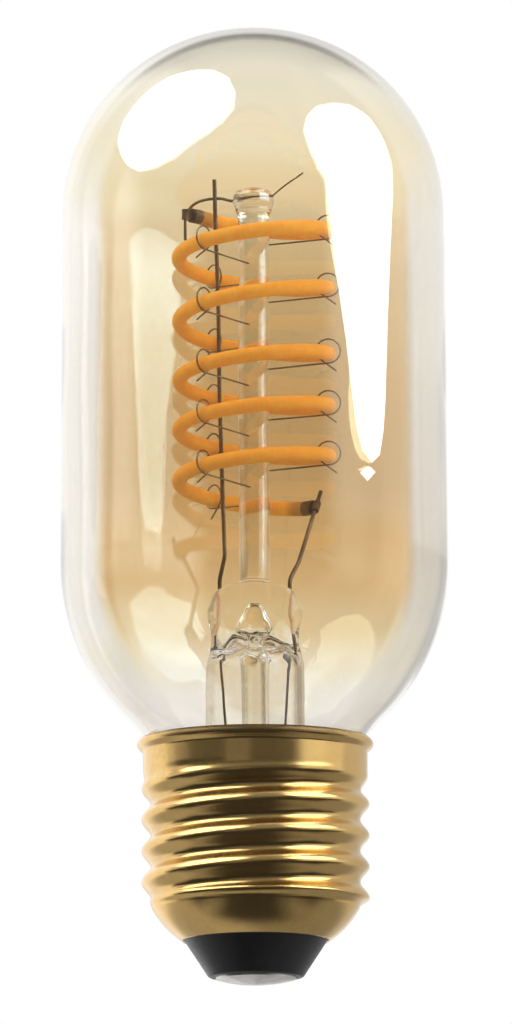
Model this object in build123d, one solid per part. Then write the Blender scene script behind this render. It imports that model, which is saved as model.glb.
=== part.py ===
from build123d import *
import math
import os

# Tubular filament lamp with a screw cap. Millimetres, +Z up, origin at the tip of the centre contact.

# Screw cap
thread_diameter = 26.3  # over the crests
thread_depth = 1.04
thread_pitch = 3.629
thread_length = 16.0  # with both run-outs
thread_lead_in = 1.1  # run-out at the bottom
thread_run_out = 2.9  # run-out at the top
crest_height = 10.0  # where a crest crosses the +X side
thread_sections = 12  # level sections in each turn
sheet = 0.3  # brass, measured level
skirt_step = 0.12  # skirt top inside the thread root
skirt_drop = 3.8
skirt_foot_diameter = 17.0
skirt_bulge = 0.3  # how far the skirt's side bows out from straight
band_step = 0.18  # plain band inside the crest
band_height = 2.5
lip_height = 1.4
lip_bulge = 0.69
lip_crown_rise = 0.77  # widest part above the band
lip_clearance = 0.12  # lip edge to glass

# Contact and insulator
contact_diameter = 9.3
contact_dome = 0.85
contact_edge = 0.2
contact_pin_diameter = 2.6
contact_pin_short = 0.6  # pin end below the insulator's top
contact_floor = 0.8  # metal left under the pin's bore
insulator_foot_diameter = 10.9
insulator_height = 4.2  # the part that shows
insulator_round = 0.5
insulator_seat = 2.1  # the part inside the skirt
pin_clearance = 0.05

# Glass bulb
bulb_diameter = 45.0  # at the foot of the straight wall
bulb_taper = 0.6  # less at its head
bulb_wall = 0.9
shoulder_rise = 20.5  # cap to the foot of the straight wall
straight_length = 40.9
crown_extra = 2.4  # crown radius over the wall's radius
crown_drop = 2.9  # crown centre below the head of the wall
neck_clearance = 0.4  # neck to the inside of the thread roots
neck_fillet = 9.9
neck_straight = 5.2  # neck's straight part ends this far below the lip
neck_depth = 7.8  # neck inside the cap

# Glass stem
press_width = 10.6
press_thickness = 3.6
press_corner = 1.5
press_height = 5.3
press_rise = 17.8  # cap to the top of the press
press_blend = 2.8  # round tube to flat press
press_edge = 0.9
stem_diameter = 10.6
stem_foot_diameter = 11.6
stem_wall = 0.8
cavity_rise = 1.7  # cone at the head of the stem's hollow
vent_width = 2.6
vent_height = 0.9
vent_bore_height = 3.2
exhaust_diameter = 3.1
exhaust_bore = 1.8
exhaust_tip = 1.0  # below the neck's end
exhaust_tip_wall = 1.2

# Centre rod
rod_diameter = 3.6
rod_length = 43.5
button_diameter = 4.9
button_height = 3.2
button_belly_rise = 1.35
button_neck_rise = 2.55
button_rim_diameter = 3.7
button_dimple = 0.35

# Lead wires
lead_diameter = 0.48
press_wire_diameter = 0.4
outer_lead_diameter = 0.3
lead_spacing = 8.2  # in the press
press_wire_length = 5.0
lead_embed = 1.0  # inner leads inside the press
lead_bend = 2.0
lead_foot_rise = 0.6  # straight out of the press
long_lead_knee = (-3.5, 0.2)
long_lead_knee_rise = 3.4
long_lead_reach = 4.9  # off the axis at the hook wire
long_lead_over = 2.3  # above the hook wire
short_lead_knee = (5.2, 1.4)
short_lead_knee_rise = 2.9
short_lead_over = 2.3  # beyond the filament's lower end
outer_lead_bend = 3.0
outer_lead_straight = 1.5  # above the board
wire_gap = 0.03  # between wires that touch

# Filament
filament_diameter = 1.7
coil_diameter = 17.32  # at the middle of the strip
coil_start = 137.2  # azimuth of the upper end, degrees
coil_turns_upper = 1.382
coil_turns_middle = 1.0
coil_turns_lower = 2.869
coil_pitch_upper = 6.9
coil_pitch_middle = 7.85
coil_pitch_lower = 5.95
tip_length = 1.3
upper_tongue_length = 1.05
lower_tongue_length = 0.45
tongue_width = 1.0
tongue_thickness = 0.3
crimp_wall = 0.22
crimp_height = 1.2

# Top hook wire
hook_diameter = 0.36
hook_seat = 2.25  # level part above the rod, inside the button
hook_rise = 1.42  # level part above the filament's upper end
hook_drop = 3.1  # hook end below it
hook_bend = 1.0
hook_tail_length = 5.0
hook_tail_rise = 2.9

# Pigtail supports
support_diameter = 0.2
support_loop_diameter = 2.74
support_embed = 0.5  # in the rod
support_gap = 0.1  # under the filament
support_loop_angle = 318.0
support_loop_pitch = 0.45
support_tail = 2.2
support_tilt = 5.0  # straight part rises outwards, degrees
support_columns = {"right": 0.0, "front": -130.0, "back": -235.0}  # azimuths, degrees
supports_per_column = 5

# Driver in the cap
board_diameter = 20.0
board_thickness = 1.0
board_drop = 5.1  # below the neck's end
board_lead_spacing = 5.2
hole_clearance = 0.05
rectifier_size = (4.7, 3.9, 1.5)
rectifier_place = (0.0, -5.6)
chip_size = (4.9, 3.9, 1.5)
chip_place = (0.0, 5.6)
rectifier_legs = 2  # on each side
chip_legs = 4
leg_width = 0.4
leg_reach = 1.0
leg_thickness = 0.2
chip_chamfer = 0.3
chip_resistor_size = (1.25, 2.0, 0.5)
chip_resistor_places = [(6.6, -1.7), (6.6, 1.7)]
capacitor_diameter = 6.3
capacitor_gap = 1.7  # over the insulator
capacitor_round = 0.5
capacitor_groove_drop = 1.3
capacitor_groove = 0.25
capacitor_place = (3.5, -4.0)
resistor_diameter = 2.6
resistor_round = 0.5
resistor_gap = 0.5  # under the board
resistor_place = (-6.0, 2.5)
resistor_wire_diameter = 0.5
contact_wire_bend = 0.8
contact_wire_drop = 1.3  # resistor to the wire's level part
side_wire_azimuth = 210.0
side_wire_radius = 8.7  # where it leaves the board
side_wire_bend = 0.7
weld_gap = 0.03
solder_diameter = 1.7
solder_height = 0.7
solder_tip = 0.15  # solder round the wire at the cone's end


# Heights and radii that follow from the sizes above
crest_radius = thread_diameter / 2
root_radius = crest_radius - thread_depth
thread_mean_radius = crest_radius - thread_depth / 2
skirt_radius = root_radius - skirt_step
skirt_foot_radius = skirt_foot_diameter / 2
band_radius = crest_radius - band_step
shell_bottom = contact_dome + insulator_height
thread_bottom = shell_bottom + skirt_drop
thread_top = thread_bottom + thread_length
lip_bottom = thread_top + band_height
shell_top = lip_bottom + lip_height
insulator_top = shell_bottom + insulator_seat

neck_radius = root_radius - sheet - neck_clearance
neck_top = shell_top - neck_straight
neck_bottom = shell_top - neck_depth
wall_foot = Vector(bulb_diameter / 2, 0, shell_top + shoulder_rise)
wall_head = wall_foot + Vector(-bulb_taper / 2, 0, straight_length)
wall_run = (wall_head - wall_foot).normalized()
inward = Vector(-wall_run.Z, 0, wall_run.X)

press_top = shell_top + press_rise
press_bottom = press_top - press_height
stem_top = press_bottom - press_blend
cavity_top = stem_top + cavity_rise
rod_radius = rod_diameter / 2
rod_top = press_top + rod_length
button_top = rod_top + button_height

coil_radius = coil_diameter / 2
coil_turns = coil_turns_upper + coil_turns_middle + coil_turns_lower
coil_spans = [
    (coil_turns_upper, coil_pitch_upper),
    (coil_turns_middle, coil_pitch_middle),
    (coil_turns_lower, coil_pitch_lower),
]
hook_level = rod_top + hook_seat
coil_head = hook_level - hook_rise
board_top = neck_bottom - board_drop
board_bottom = board_top - board_thickness
capacitor_length = board_bottom - insulator_top - capacitor_gap
contact_wire_level = insulator_top + contact_wire_bend + resistor_wire_diameter
resistor_top = board_bottom - resistor_gap
resistor_foot = contact_wire_level + contact_wire_drop
resistor_length = resistor_top - resistor_foot


# Helpers
def arc(centre, radius, start, end):
    middle = centre + ((start + end) / 2 - centre).normalized() * radius
    return ThreePointArc(start, middle, end)


def lathe(*edges):
    return revolve(make_face(list(edges)), Axis.Z)


def outline(*points):
    return Polyline(*[(x, 0, z) for x, z in points], close=True)


def wire_along(path, diameter):
    start = Plane(path @ 0, z_dir=path % 0)
    return sweep(start * Circle(diameter / 2), path=path)


def bent_wire(points, bend, diameter):
    return wire_along(FilletPolyline(*points, radius=bend), diameter)


def rod_between(start, end, diameter):
    run = Vector(end) - Vector(start)
    return extrude(Plane(start, z_dir=run) * Circle(diameter / 2), run.length)


def around(azimuth, radius, height):
    angle = math.radians(azimuth)
    return Vector(radius * math.cos(angle), radius * math.sin(angle), height)


def smooth(share):
    share = min(1.0, max(0.0, share))
    return share * share * (3 - 2 * share)


# Screw shell: the rolled thread's level sections are circles set off the axis, turning once a pitch
def thread_section(height, inset):
    lead_in = smooth((height - thread_bottom) / thread_lead_in)
    run_out = smooth((thread_top - height) / thread_run_out)
    radius = thread_mean_radius - inset
    radius += (skirt_radius - thread_mean_radius) * (1 - lead_in)
    radius += (band_radius - thread_mean_radius) * (1 - run_out)
    off_axis = thread_depth / 2 * lead_in * run_out
    azimuth = 360 * (height - crest_height) / thread_pitch
    return Pos(around(azimuth, off_axis, height)) * Circle(radius)


def shell_form(inset):
    steps = round(thread_length / thread_pitch * thread_sections)
    heights = [thread_bottom + thread_length * step / steps for step in range(steps + 1)]
    thread = loft([thread_section(height, inset) for height in heights])
    foot = Vector(skirt_foot_radius - inset, 0, shell_bottom)
    head = Vector(skirt_radius - inset, 0, thread_bottom)
    side = (head - foot).normalized()
    bowed = (foot + head) / 2 + Vector(side.Z, 0, -side.X) * skirt_bulge
    skirt = lathe(
        ThreePointArc(foot, bowed, head),
        Polyline(head, (0, 0, thread_bottom), (0, 0, shell_bottom), foot),
    )
    band = Vector(band_radius - inset, 0, lip_bottom)
    bead = Vector(band_radius + lip_bulge - inset, 0, lip_bottom + lip_crown_rise)
    edge = Vector(glass_radius(shell_top) + lip_clearance + sheet - inset, 0, shell_top)
    collar = lathe(
        Line((band.X, 0, thread_top), band),
        ThreePointArc(band, bead, edge),
        Polyline(edge, (0, 0, shell_top), (0, 0, thread_top), (band.X, 0, thread_top)),
    )
    return skirt + thread + collar


# Glass bulb: straight wall, round dome of two arcs, shoulder and neck, each tangent to the next
crown_centre = Vector(0, 0, wall_head.Z - crown_drop)
crown_radius = wall_head.X + crown_extra
head_offset = wall_head - crown_centre
corner_radius = (crown_radius**2 - head_offset.length**2) / (2 * (crown_radius + head_offset.dot(inward)))
corner_centre = wall_head + inward * corner_radius
fillet_centre = Vector(neck_radius + neck_fillet, 0, neck_top)
fillet_offset = fillet_centre - wall_foot
shoulder_radius = (fillet_offset.length**2 - neck_fillet**2) / (2 * (neck_fillet + fillet_offset.dot(inward)))
shoulder_centre = wall_foot + inward * shoulder_radius


def glass_radius(height):
    return fillet_centre.X - math.sqrt(neck_fillet**2 - (height - neck_top) ** 2)


def bulb_outline(inset):
    to_corner = (corner_centre - crown_centre).normalized()
    to_fillet = (fillet_centre - shoulder_centre).normalized()
    apex = crown_centre + Vector(0, 0, crown_radius - inset)
    dome_joint = crown_centre + to_corner * (crown_radius - inset)
    head = wall_head + inward * inset
    foot = wall_foot + inward * inset
    shoulder_joint = shoulder_centre + to_fillet * (shoulder_radius - inset)
    neck_head = Vector(neck_radius - inset, 0, neck_top)
    neck_end = Vector(neck_radius - inset, 0, neck_bottom)
    edges = [
        arc(crown_centre, crown_radius - inset, apex, dome_joint),
        arc(corner_centre, corner_radius - inset, dome_joint, head),
        Line(head, foot),
        arc(shoulder_centre, shoulder_radius - inset, foot, shoulder_joint),
        arc(fillet_centre, neck_fillet + inset, shoulder_joint, neck_head),
        Line(neck_head, neck_end),
    ]
    return edges, apex, neck_end


def bulb_form(inset):
    edges, apex, neck_end = bulb_outline(inset)
    return lathe(*edges, Polyline(neck_end, (0, 0, neck_bottom), apex))


def make_glass_bulb():
    return bulb_form(0) - bulb_form(bulb_wall)


# Cap pieces
def make_screw_shell():
    return shell_form(0) - shell_form(sheet)


def make_base_insulator():
    foot = insulator_foot_diameter / 2
    seat = Pos(0, 0, shell_bottom) * Cylinder(
        crest_radius, insulator_seat, align=(Align.CENTER, Align.CENTER, Align.MIN)
    )
    cone = lathe(
        outline(
            (0, contact_dome),
            (foot, contact_dome),
            (skirt_foot_radius - sheet, shell_bottom),
            (0, shell_bottom),
        )
    )
    cone = fillet(cone.edges().group_by(Axis.Z)[0], insulator_round)
    bore = Cylinder(contact_pin_diameter / 2 + pin_clearance, 4 * insulator_top)
    return cone + (shell_form(sheet) & seat) - bore


def make_centre_contact():
    rim = contact_diameter / 2
    edge = contact_dome - contact_edge
    pin = contact_pin_diameter / 2
    sphere = (rim**2 + edge**2) / (2 * edge)
    pin_top = insulator_top - contact_pin_short
    body = lathe(
        arc(Vector(0, 0, sphere), sphere, Vector(0, 0, 0), Vector(rim, 0, edge)),
        Polyline(
            (rim, 0, edge),
            (rim, 0, contact_dome),
            (pin, 0, contact_dome),
            (pin, 0, pin_top),
            (0, 0, pin_top),
            (0, 0, 0),
        ),
    )
    bore_depth = pin_top - contact_floor
    bore = Pos(0, 0, contact_floor + bore_depth / 2) * Cylinder(
        resistor_wire_diameter / 2 + hole_clearance, bore_depth
    )
    return body - bore


def make_base_cement():
    ring = Pos(0, 0, thread_top) * Cylinder(
        band_radius - sheet, band_height, align=(Align.CENTER, Align.CENTER, Align.MIN)
    )
    return ring - bulb_form(0)


# Glass stem: trumpet-shaped foot, tube, flat press with a vent
def make_stem_flare(wires):
    rim = neck_radius - bulb_wall
    foot = stem_foot_diameter / 2
    head = stem_diameter / 2
    flare = rim - foot
    flare_centre = Vector(rim, 0, neck_bottom + stem_wall + flare)
    flare_top = flare_centre.Z
    tube = lathe(
        arc(flare_centre, flare, Vector(rim, 0, flare_top - flare), Vector(foot, 0, flare_top)),
        Polyline(
            (foot, 0, flare_top),
            (head, 0, stem_top),
            (head - stem_wall, 0, stem_top),
            (foot - stem_wall, 0, flare_top),
        ),
        arc(
            flare_centre,
            flare + stem_wall,
            Vector(foot - stem_wall, 0, flare_top),
            Vector(rim, 0, neck_bottom),
        ),
        Line((rim, 0, neck_bottom), (rim, 0, flare_top - flare)),
    )
    flat = RectangleRounded(press_width, press_thickness, press_corner)
    blend = loft([Pos(0, 0, stem_top) * Circle(head), Pos(0, 0, press_bottom) * flat])
    press = extrude(Pos(0, 0, press_bottom) * flat, press_height)
    press = fillet(press.edges().group_by(Axis.Z)[-1], press_edge)
    cone = lathe(
        outline(
            (0, stem_top),
            (head - stem_wall, stem_top),
            (exhaust_diameter / 2, cavity_top),
            (0, cavity_top),
        )
    )
    bore = exhaust_bore / 2
    vent_top = cavity_top + vent_bore_height
    vent = lathe(outline((0, cavity_top), (bore, cavity_top), (bore, vent_top - bore), (0, vent_top)))
    slot = Pos(0, -press_thickness / 2, cavity_top + vent_bore_height / 2) * Rot(90, 0, 0)
    window = extrude(slot * SlotOverall(vent_width, vent_height), press_thickness / 2, both=True)
    return tube + (blend - cone) + press - vent - window - wires


def make_exhaust_tube():
    outer = exhaust_diameter / 2
    bore = exhaust_bore / 2
    tip = neck_bottom - exhaust_tip
    bore_end = tip + exhaust_tip_wall
    return lathe(
        arc(Vector(0, 0, tip + outer), outer, Vector(0, 0, tip), Vector(outer, 0, tip + outer)),
        Polyline(
            (outer, 0, tip + outer), (outer, 0, cavity_top), (bore, 0, cavity_top), (bore, 0, bore_end + bore)
        ),
        arc(Vector(0, 0, bore_end + bore), bore, Vector(bore, 0, bore_end + bore), Vector(0, 0, bore_end)),
        Line((0, 0, bore_end), (0, 0, tip)),
    )


def make_centre_rod(wires):
    button = button_diameter / 2
    rim = button_rim_diameter / 2
    belly = rod_top + button_belly_rise
    neck = rod_top + button_neck_rise
    dimple = Vector(0, 0, button_top - button_dimple)
    edge = Vector(rim, 0, button_top)
    sphere = (rim**2 + button_dimple**2) / (2 * button_dimple)
    form = lathe(
        Polyline((0, 0, press_top), (rod_radius, 0, press_top), (rod_radius, 0, rod_top)),
        Spline((rod_radius, 0, rod_top), (button, 0, belly), (rim, 0, neck), edge),
        arc(dimple + Vector(0, 0, sphere), sphere, edge, dimple),
        Line(dimple, (0, 0, press_top)),
    )
    return form - wires


# Filament: a strip wound right-handed, its pitch changing from span to span
def coil_height(turn):
    height = coil_head
    for turns, pitch in coil_spans:
        height -= pitch * min(max(turn, 0), turns)
        turn -= turns
    return height


def coil_point(turn):
    return around(coil_start - 360 * turn, coil_radius, coil_height(turn))


def coil_way(turn):
    azimuth = math.radians(coil_start - 360 * turn)
    return Vector(math.sin(azimuth), -math.cos(azimuth), 0)


def make_led_filament():
    strip = None
    foot_turn = coil_turns
    for turns, pitch in reversed(coil_spans):
        azimuth = coil_start - 360 * foot_turn
        helix = Helix(pitch, pitch * turns, coil_radius)
        section = Plane((coil_radius, 0, 0), x_dir=(1, 0, 0), z_dir=(0, 1, 0)) * Circle(filament_diameter / 2)
        span = sweep(section, path=helix, is_frenet=True)
        span = Pos(0, 0, coil_height(foot_turn)) * Rot(0, 0, azimuth) * span
        strip = span if strip is None else strip + span
        foot_turn -= turns
    return strip


# Metal tip on a filament end: cap, tongue and a crimp round the wire that carries it
def crimp_point(turn, way, tongue_length):
    reach = tip_length + tongue_length + wire_gap
    return coil_point(turn) + way * reach


def upper_crimp():
    return crimp_point(0, coil_way(0) * -1, upper_tongue_length)


def lower_crimp():
    return crimp_point(coil_turns, coil_way(coil_turns), lower_tongue_length)


def make_filament_tip(turn, way, tongue_length, lean, wire_diameter):
    end = coil_point(turn)
    cap = extrude(Plane(end, z_dir=way) * Circle(filament_diameter / 2), tip_length)
    face = Plane(end + way * tip_length, x_dir=(0, 0, 1), z_dir=way)
    tongue = extrude(face * Rectangle(tongue_width, tongue_thickness), tongue_length)
    bore = wire_diameter / 2 + wire_gap
    upright = Plane(crimp_point(turn, way, tongue_length) - lean * (crimp_height / 2), z_dir=lean)
    crimp = extrude(upright * Circle(bore + crimp_wall), crimp_height)
    hole = extrude(upright.offset(-crimp_height) * Circle(bore), 3 * crimp_height)
    return cap + tongue + crimp - hole


# Wires
def make_top_hook_wire():
    crimp = upper_crimp()
    outward = Vector(crimp.X, crimp.Y, 0).normalized()
    tail = outward * -(button_diameter / 2) + Vector(0, 0, hook_level)
    tail_run = math.sqrt(hook_tail_length**2 - hook_tail_rise**2)
    points = [
        tail + outward * -tail_run + Vector(0, 0, hook_tail_rise),
        tail,
        Vector(crimp.X, crimp.Y, hook_level),
        Vector(crimp.X, crimp.Y, crimp.Z - hook_drop),
    ]
    return bent_wire(points, hook_bend, hook_diameter)


def press_point(side, height):
    return Vector(side * lead_spacing / 2, 0, height)


def make_press_wire(side):
    top = press_top - lead_embed
    foot = top - press_wire_length
    return rod_between(press_point(side, foot), press_point(side, top), press_wire_diameter)


def make_inner_lead_long():
    hook = upper_crimp()
    outward = Vector(hook.X, hook.Y, 0).normalized()
    beside = Vector(-outward.Y, outward.X, 0)
    clear = (lead_diameter + hook_diameter) / 2 + wire_gap
    top = outward * long_lead_reach + beside * clear + Vector(0, 0, hook_level + long_lead_over)
    points = [
        press_point(-1, press_top - lead_embed),
        press_point(-1, press_top + lead_foot_rise),
        Vector(*long_lead_knee, press_top + long_lead_knee_rise),
        top,
    ]
    return bent_wire(points, lead_bend, lead_diameter)


def make_inner_lead_short():
    crimp = lower_crimp()
    points = [
        press_point(1, press_top - lead_embed),
        press_point(1, press_top + lead_foot_rise),
        short_lead_bend(),
        crimp + short_lead_lean() * short_lead_over,
    ]
    return bent_wire(points, lead_bend, lead_diameter)


def short_lead_bend():
    return Vector(*short_lead_knee, press_top + short_lead_knee_rise)


def short_lead_lean():
    return (lower_crimp() - short_lead_bend()).normalized()


def make_outer_lead(side):
    top = press_top - lead_embed - press_wire_length
    foot = Vector(side * board_lead_spacing / 2, 0, board_bottom - solder_height)
    turn_point = Vector(foot.X, 0, board_top + outer_lead_straight)
    return bent_wire([press_point(side, top), turn_point, foot], outer_lead_bend, outer_lead_diameter)


# Pigtail support: straight from the rod under the strip, once round it, and a short tail
def make_support():
    loop = support_loop_diameter / 2
    below = filament_diameter / 2 + support_gap + support_diameter / 2
    seat = Plane((coil_radius, 0, loop - below), x_dir=(0, 0, -1), z_dir=(0, -1, 0))
    helix = seat * Helix(support_loop_pitch, support_loop_pitch * support_loop_angle / 360, loop)
    helix = Pos(coil_radius, 0, 0) * Rot(0, -support_tilt, 0) * Pos(-coil_radius, 0, 0) * helix
    start = helix @ 0
    way = helix % 0
    reach = (start.X - (rod_radius - support_embed)) / way.X
    straight = rod_between(start - way * reach, start, support_diameter)
    ring = wire_along(helix, support_diameter)
    end = helix @ 1
    tail = rod_between(end, end + (helix % 1) * support_tail, support_diameter)
    return straight + ring + tail


def place_supports():
    support = make_support()
    placed = {}
    for column, azimuth in support_columns.items():
        first_turn = (coil_start - azimuth) / 360
        for number in range(supports_per_column):
            height = coil_height(first_turn + number)
            placed[f"support_{column}_{number + 1}"] = Pos(0, 0, height) * Rot(0, 0, azimuth) * support
    return placed


# Driver board and what is on it
def board_hole(place, diameter):
    middle = (place[0], place[1], board_top - board_thickness / 2)
    return Pos(middle) * Cylinder(diameter / 2 + hole_clearance, 2 * board_thickness)


def make_driver_board():
    board = Pos(0, 0, board_top - board_thickness / 2) * Cylinder(board_diameter / 2, board_thickness)
    for side in (-1, 1):
        board -= board_hole((side * board_lead_spacing / 2, 0), outer_lead_diameter)
    board -= board_hole(resistor_place, resistor_wire_diameter)
    side_pad = around(side_wire_azimuth, side_wire_radius, 0)
    return board - board_hole((side_pad.X, side_pad.Y), resistor_wire_diameter)


def make_chip(size, place, legs):
    length, width, height = size
    body = Pos(place[0], place[1], board_top + height / 2 + leg_thickness) * Box(length, width, height)
    body = chamfer(body.edges().group_by(Axis.Z)[-1], chip_chamfer)
    spacing = length / legs
    for side in (-1, 1):
        for number in range(legs):
            x = place[0] + (number - (legs - 1) / 2) * spacing
            foot_y = place[1] + side * (width / 2 + leg_reach / 2)
            foot = Pos(x, foot_y, board_top + leg_thickness / 2) * Box(leg_width, leg_reach, leg_thickness)
            knee_y = place[1] + side * (width / 2 + leg_thickness / 2)
            knee = Pos(x, knee_y, board_top + height / 4 + leg_thickness / 2)
            body += foot + knee * Box(leg_width, leg_thickness, height / 2 + leg_thickness)
    return body


def make_chip_resistors():
    length, width, height = chip_resistor_size
    blocks = [Pos(x, y, board_top + height / 2) * Box(length, width, height) for x, y in chip_resistor_places]
    return Compound(children=blocks)


def make_smoothing_capacitor():
    x, y = capacitor_place
    can = Pos(x, y, board_bottom - capacitor_length / 2) * Cylinder(capacitor_diameter / 2, capacitor_length)
    can = fillet(can.edges().group_by(Axis.Z)[0], capacitor_round)
    groove_height = board_bottom - capacitor_groove_drop
    ring = Pos(x, y, groove_height) * Torus(capacitor_diameter / 2, capacitor_groove)
    return can - ring


def make_fuse_resistor():
    x, y = resistor_place
    middle = (x, y, (resistor_top + resistor_foot) / 2)
    body = Pos(middle) * Cylinder(resistor_diameter / 2, resistor_length)
    body = fillet(body.edges().filter_by(GeomType.CIRCLE), resistor_round)
    return body + rod_between(middle, (x, y, board_top + solder_height), resistor_wire_diameter)


def make_contact_wire():
    x, y = resistor_place
    points = [
        (x, y, resistor_foot),
        (x, y, contact_wire_level),
        (0, 0, contact_wire_level),
        (0, 0, contact_floor),
    ]
    return bent_wire(points, contact_wire_bend, resistor_wire_diameter)


def side_wire_level():
    root = crest_height + thread_pitch * (side_wire_azimuth / 360 + 0.5)
    lowest = board_top + side_wire_bend + resistor_wire_diameter / 2
    return root + thread_pitch * math.ceil((lowest - root) / thread_pitch)


def make_side_wire():
    level = side_wire_level()
    wall = root_radius - sheet - weld_gap
    points = [
        around(side_wire_azimuth, side_wire_radius, board_bottom - solder_height),
        around(side_wire_azimuth, side_wire_radius, level),
        around(side_wire_azimuth, wall, level),
    ]
    return bent_wire(points, side_wire_bend, resistor_wire_diameter)


def solder_cone(place, level, way, wire_diameter):
    x, y = place
    hole = wire_diameter / 2
    cone = Pos(x, y, level + way * solder_height / 2) * Rot(0 if way > 0 else 180, 0, 0) * Cone(
        solder_diameter / 2, hole + solder_tip, solder_height
    )
    return cone - Pos(x, y, level) * Cylinder(hole, 4 * solder_height)


def make_solder_joints():
    side_pad = around(side_wire_azimuth, side_wire_radius, 0)
    joints = [
        solder_cone((board_lead_spacing / 2, 0), board_bottom, -1, outer_lead_diameter),
        solder_cone((-board_lead_spacing / 2, 0), board_bottom, -1, outer_lead_diameter),
        solder_cone(resistor_place, board_top, 1, resistor_wire_diameter),
        solder_cone((side_pad.X, side_pad.Y), board_bottom, -1, resistor_wire_diameter),
    ]
    return Compound(children=joints)


# The whole lamp
def make_lamp():
    upper_way = coil_way(0) * -1
    lower_way = coil_way(coil_turns)
    upright = Vector(0, 0, 1)
    nodes = {
        "glass_bulb": make_glass_bulb(),
        "exhaust_tube": make_exhaust_tube(),
        "inner_lead_long": make_inner_lead_long(),
        "inner_lead_short": make_inner_lead_short(),
        "press_wire_left": make_press_wire(-1),
        "press_wire_right": make_press_wire(1),
        "outer_lead_left": make_outer_lead(-1),
        "outer_lead_right": make_outer_lead(1),
        "top_hook_wire": make_top_hook_wire(),
        "led_filament": make_led_filament(),
        "filament_tip_upper": make_filament_tip(0, upper_way, upper_tongue_length, upright, hook_diameter),
        "filament_tip_lower": make_filament_tip(
            coil_turns, lower_way, lower_tongue_length, short_lead_lean(), lead_diameter
        ),
        "screw_shell": make_screw_shell(),
        "base_insulator": make_base_insulator(),
        "centre_contact": make_centre_contact(),
        "base_cement": make_base_cement(),
        "driver_board": make_driver_board(),
        "bridge_rectifier": make_chip(rectifier_size, rectifier_place, rectifier_legs),
        "driver_chip": make_chip(chip_size, chip_place, chip_legs),
        "chip_resistors": make_chip_resistors(),
        "smoothing_capacitor": make_smoothing_capacitor(),
        "fuse_resistor": make_fuse_resistor(),
        "contact_wire": make_contact_wire(),
        "side_wire": make_side_wire(),
        "solder_joints": make_solder_joints(),
    }
    supports = place_supports()
    in_press = [nodes[name] for name in nodes if name.startswith(("inner_lead", "press_wire", "outer_lead"))]
    nodes["stem_flare"] = make_stem_flare(in_press)
    nodes["centre_rod"] = make_centre_rod([nodes["top_hook_wire"], *supports.values()])
    return nodes | supports


os.makedirs("parts", exist_ok=True)
for name, shape in make_lamp().items():
    export_step(shape, f"parts/{name}.step")
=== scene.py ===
import math
import bpy
import numpy as np
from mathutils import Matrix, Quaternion, Vector


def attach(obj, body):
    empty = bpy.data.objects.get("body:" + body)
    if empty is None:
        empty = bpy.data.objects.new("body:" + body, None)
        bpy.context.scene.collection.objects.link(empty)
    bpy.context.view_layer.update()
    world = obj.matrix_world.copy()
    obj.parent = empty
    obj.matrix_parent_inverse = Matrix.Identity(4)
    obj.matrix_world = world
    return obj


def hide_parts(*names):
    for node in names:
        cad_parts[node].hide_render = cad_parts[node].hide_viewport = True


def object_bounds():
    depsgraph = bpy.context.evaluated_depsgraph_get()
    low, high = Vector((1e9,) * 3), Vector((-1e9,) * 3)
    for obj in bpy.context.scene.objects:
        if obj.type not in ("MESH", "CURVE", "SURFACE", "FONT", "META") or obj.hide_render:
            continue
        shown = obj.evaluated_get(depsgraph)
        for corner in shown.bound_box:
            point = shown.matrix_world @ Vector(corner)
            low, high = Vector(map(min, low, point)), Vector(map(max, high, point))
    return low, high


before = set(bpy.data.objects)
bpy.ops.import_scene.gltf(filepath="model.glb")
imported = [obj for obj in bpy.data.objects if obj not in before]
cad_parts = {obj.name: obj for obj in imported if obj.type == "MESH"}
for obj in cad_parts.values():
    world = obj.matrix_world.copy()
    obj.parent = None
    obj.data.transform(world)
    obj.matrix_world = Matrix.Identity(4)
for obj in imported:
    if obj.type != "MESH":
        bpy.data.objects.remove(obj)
cadLow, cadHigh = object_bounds()  # box of the solids
scene = bpy.context.scene
scene.view_settings.view_transform = "Standard"
mm = 0.001  # sizes below are in millimetres
fullTurn = 2 * math.pi
white = (1.0, 1.0, 1.0, 1.0)
print("frame:", len(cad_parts), "nodes")


# camera: from a little below, as the photograph
cameraSet = {
    "target": (0.18, 0.0, 55.07),
    "lookUp": 9.2, "distance": 1130.0, "roll": -0.2,
    "lens": 342.8, "sensor": 36.0,
    "clip": (0.05, 40.0),  # metres
}


def makeCamera(s):
    data = bpy.data.cameras.new("photoCamera")
    data.sensor_width = s["sensor"]
    data.lens = s["lens"]
    data.clip_start, data.clip_end = s["clip"]
    camera = bpy.data.objects.new("photoCamera", data)
    up = math.radians(s["lookUp"])
    back = Vector((0.0, -math.cos(up), -math.sin(up)))
    camera.location = (Vector(s["target"]) + back * s["distance"]) * mm
    camera.rotation_mode = "QUATERNION"
    turn = Quaternion((0.0, 0.0, 1.0), math.radians(s["roll"]))
    camera.rotation_quaternion = (-back).to_track_quat("-Z", "Y") @ turn
    scene.collection.objects.link(camera)
    scene.camera = camera


makeCamera(cameraSet)
print("camera placed")


# node helpers: a field is a socket's value, so that sums and products read as such
def joined(operation):
    return lambda self, other: calc(operation, self, other)


class Field:
    def __init__(self, socket):
        self.socket = socket

    def __rsub__(self, other):
        return calc("SUBTRACT", other, self)

    __add__ = joined("ADD")
    __sub__ = joined("SUBTRACT")
    __mul__ = joined("MULTIPLY")
    __truediv__ = joined("DIVIDE")
    __gt__ = joined("GREATER_THAN")
    __lt__ = joined("LESS_THAN")


def feed(socket, value):
    if isinstance(value, Field):
        socket.id_data.links.new(value.socket, socket)
    else:
        socket.default_value = value


def fill(sockets, values):
    for socket, value in zip(sockets, values):
        feed(socket, value)


def setInputs(node, **values):  # an underscore stands for a space
    for label, value in values.items():
        feed(node.inputs[label.replace("_", " ")], value)


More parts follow.
